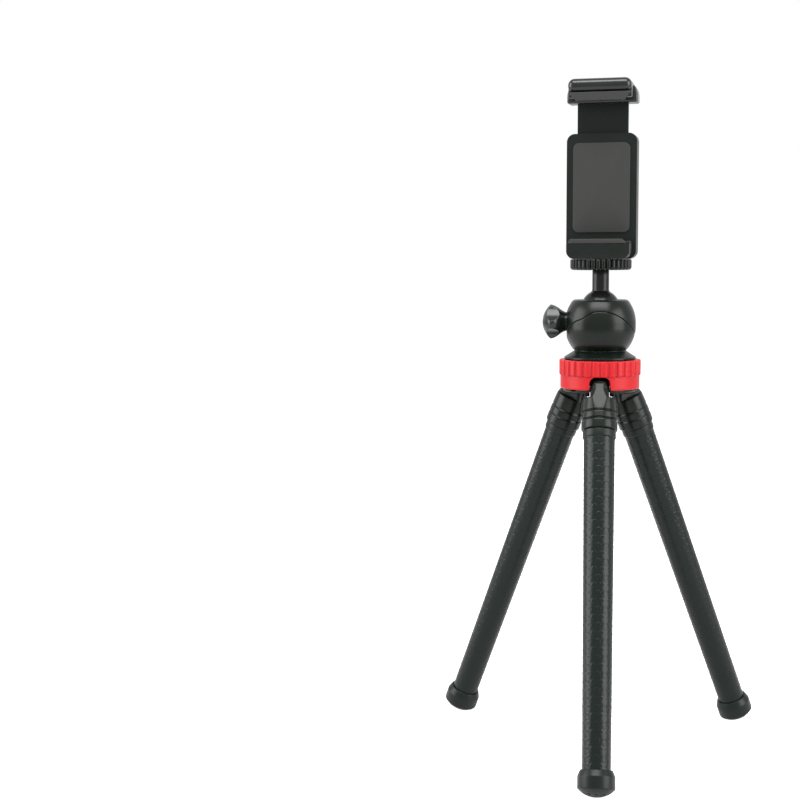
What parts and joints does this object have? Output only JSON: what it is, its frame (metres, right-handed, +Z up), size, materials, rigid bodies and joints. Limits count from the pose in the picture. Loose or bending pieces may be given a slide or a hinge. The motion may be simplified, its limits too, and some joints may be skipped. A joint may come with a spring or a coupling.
{
  "type": "flexible leg tripod",
  "caption": "Mini tripod with three bendable rubber legs, a red ring, a pan and ball head and a spring phone clamp.",
  "frame": {"origin": "on the floor, under the tripod's own axis, where the three feet stand on Z = 0", "axes": "+Z up along the tripod's axis; -Y towards the first leg and the phone clamp's open side; the clamping knob points along -X"},
  "size_m": [0.1636, 0.1442, 0.3314],
  "materials": {
    "leg_sleeve_rubber": "black coated rubber with a fine moulded scale pattern, satin to gloss",
    "foot_rubber": "black moulded rubber, satin",
    "pad_rubber": "dark grey soft rubber, matt",
    "black_plastic": "black moulded plastic, fine satin",
    "head_plastic": "black moulded plastic, satin gloss",
    "gloss_black": "black, gloss",
    "red_plastic": "red moulded plastic, satin gloss",
    "black_metal": "black painted metal, gloss",
    "white_nylon": "natural nylon",
    "steel": "plain steel",
    "brass": "plain brass",
    "core_aluminium": "soft aluminium rod"
  },
  "bodies": {
    "base": {"crown": "black_plastic", "leg_hinge_pins": "steel", "lock_ring": "red_plastic", "pan_washer": "steel"},
    "head": {"pan_collar": "head_plastic", "pan_bolt": "steel", "housing_lower_shell": "head_plastic", "housing_upper_shell": "head_plastic", "ball_cup": "white_nylon", "ball_clamp_shoe": "white_nylon", "knob_nut": "brass"},
    "clamping_knob": {"knob": "gloss_black", "knob_screw": "steel"},
    "ball": {"ball_and_stem": "black_metal", "camera_stud": "steel"},
    "disc": {"lock_disc": "head_plastic"},
    "phone_clamp": {"clamp_lower_jaw": "black_plastic", "clamp_back_cover": "black_plastic", "clamp_cover_screws": "steel", "clamp_thread_insert": "brass", "lower_jaw_pad": "pad_rubber", "clamp_back_pad": "pad_rubber", "clamp_spring_left": "steel", "clamp_spring_right": "steel"},
    "sliding_jaw": {"clamp_upper_jaw": "black_plastic", "clamp_slider": "black_plastic", "clamp_slider_screws": "steel", "upper_jaw_pad": "pad_rubber"},
    "leg_1_part_a": {"leg_1_connector": "black_plastic", "leg_1_sleeve_a": "leg_sleeve_rubber", "leg_1_core_a": "core_aluminium"},
    "leg_1_part_b": {"leg_1_sleeve_b": "leg_sleeve_rubber", "leg_1_core_b": "core_aluminium"},
    "leg_1_part_c": {"leg_1_sleeve_c": "leg_sleeve_rubber", "leg_1_core_c": "core_aluminium"},
    "leg_1_part_d": {"leg_1_sleeve_d": "leg_sleeve_rubber", "leg_1_core_d": "core_aluminium", "leg_1_foot": "foot_rubber"},
    "leg_2_part_a": {"leg_2_connector": "black_plastic", "leg_2_sleeve_a": "leg_sleeve_rubber", "leg_2_core_a": "core_aluminium"},
    "leg_2_part_b": {"leg_2_sleeve_b": "leg_sleeve_rubber", "leg_2_core_b": "core_aluminium"},
    "leg_2_part_c": {"leg_2_sleeve_c": "leg_sleeve_rubber", "leg_2_core_c": "core_aluminium"},
    "leg_2_part_d": {"leg_2_sleeve_d": "leg_sleeve_rubber", "leg_2_core_d": "core_aluminium", "leg_2_foot": "foot_rubber"},
    "leg_3_part_a": {"leg_3_connector": "black_plastic", "leg_3_sleeve_a": "leg_sleeve_rubber", "leg_3_core_a": "core_aluminium"},
    "leg_3_part_b": {"leg_3_sleeve_b": "leg_sleeve_rubber", "leg_3_core_b": "core_aluminium"},
    "leg_3_part_c": {"leg_3_sleeve_c": "leg_sleeve_rubber", "leg_3_core_c": "core_aluminium"},
    "leg_3_part_d": {"leg_3_sleeve_d": "leg_sleeve_rubber", "leg_3_core_d": "core_aluminium", "leg_3_foot": "foot_rubber"}
  },
  "joints": [
    {"name": "head_pan", "type": "hinge", "parent": "base", "child": "head", "pos_m": [0, 0, 0.19459], "axis": [0, 0, 1], "continuous": true},
    {"name": "knob_turn", "type": "hinge", "parent": "head", "child": "clamping_knob", "pos_m": [-0.0174, 0, 0.21328], "axis": [-1, 0, 0], "range_deg": [-180, 180]},
    {"name": "ball_tilt", "type": "hinge", "parent": "head", "child": "ball", "pos_m": [0, 0, 0.21948], "axis": [1, 0, 0], "range_deg": [-33, 33]},
    {"name": "lock_disc_turn", "type": "hinge", "parent": "ball", "child": "disc", "pos_m": [0, 0, 0.23888], "axis": [0, 0, 1], "continuous": true},
    {"name": "clamp_turn", "type": "hinge", "parent": "ball", "child": "phone_clamp", "pos_m": [0, 0, 0.24428], "axis": [0, 0, 1], "continuous": true},
    {"name": "jaw_slide", "type": "slide", "parent": "phone_clamp", "child": "sliding_jaw", "axis": [0, 0, 1], "range_m": [-0.011, 0.018], "deforming": ["clamp_spring_left", "clamp_spring_right"]},
    {"name": "leg_1_swing", "type": "hinge", "parent": "base", "child": "leg_1_part_a", "pos_m": [0, -0.0129, 0.18179], "axis": [-1, 0, 0], "range_deg": [-22.1, 48]},
    {"name": "leg_1_bend_1", "type": "hinge", "parent": "leg_1_part_a", "child": "leg_1_part_b", "pos_m": [0, -0.03287, 0.13262], "axis": [1, 0, 0], "range_deg": [-35, 35]},
    {"name": "leg_1_bend_2", "type": "hinge", "parent": "leg_1_part_b", "child": "leg_1_part_c", "pos_m": [0, -0.04856, 0.09398], "axis": [0, -0.9265, 0.3762], "range_deg": [-35, 35]},
    {"name": "leg_1_bend_3", "type": "hinge", "parent": "leg_1_part_c", "child": "leg_1_part_d", "pos_m": [0, -0.06425, 0.05534], "axis": [1, 0, 0], "range_deg": [-35, 35]},
    {"name": "leg_2_swing", "type": "hinge", "parent": "base", "child": "leg_2_part_a", "pos_m": [0.01117, 0.00645, 0.18179], "axis": [0.5, -0.866, 0], "range_deg": [-22.1, 48]},
    {"name": "leg_2_bend_1", "type": "hinge", "parent": "leg_2_part_a", "child": "leg_2_part_b", "pos_m": [0.02846, 0.01643, 0.13262], "axis": [-0.5, 0.866, 0], "range_deg": [-35, 35]},
    {"name": "leg_2_bend_2", "type": "hinge", "parent": "leg_2_part_b", "child": "leg_2_part_c", "pos_m": [0.04205, 0.02428, 0.09398], "axis": [0.8024, 0.4633, 0.3762], "range_deg": [-35, 35]},
    {"name": "leg_2_bend_3", "type": "hinge", "parent": "leg_2_part_c", "child": "leg_2_part_d", "pos_m": [0.05564, 0.03212, 0.05534], "axis": [-0.5, 0.866, 0], "range_deg": [-35, 35]},
    {"name": "leg_3_swing", "type": "hinge", "parent": "base", "child": "leg_3_part_a", "pos_m": [-0.01117, 0.00645, 0.18179], "axis": [0.5, 0.866, 0], "range_deg": [-22.1, 48]},
    {"name": "leg_3_bend_1", "type": "hinge", "parent": "leg_3_part_a", "child": "leg_3_part_b", "pos_m": [-0.02846, 0.01643, 0.13262], "axis": [-0.5, -0.866, 0], "range_deg": [-35, 35]},
    {"name": "leg_3_bend_2", "type": "hinge", "parent": "leg_3_part_b", "child": "leg_3_part_c", "pos_m": [-0.04205, 0.02428, 0.09398], "axis": [-0.8024, 0.4633, 0.3762], "range_deg": [-35, 35]},
    {"name": "leg_3_bend_3", "type": "hinge", "parent": "leg_3_part_c", "child": "leg_3_part_d", "pos_m": [-0.05564, 0.03212, 0.05534], "axis": [-0.5, -0.866, 0], "range_deg": [-35, 35]}
  ]
}
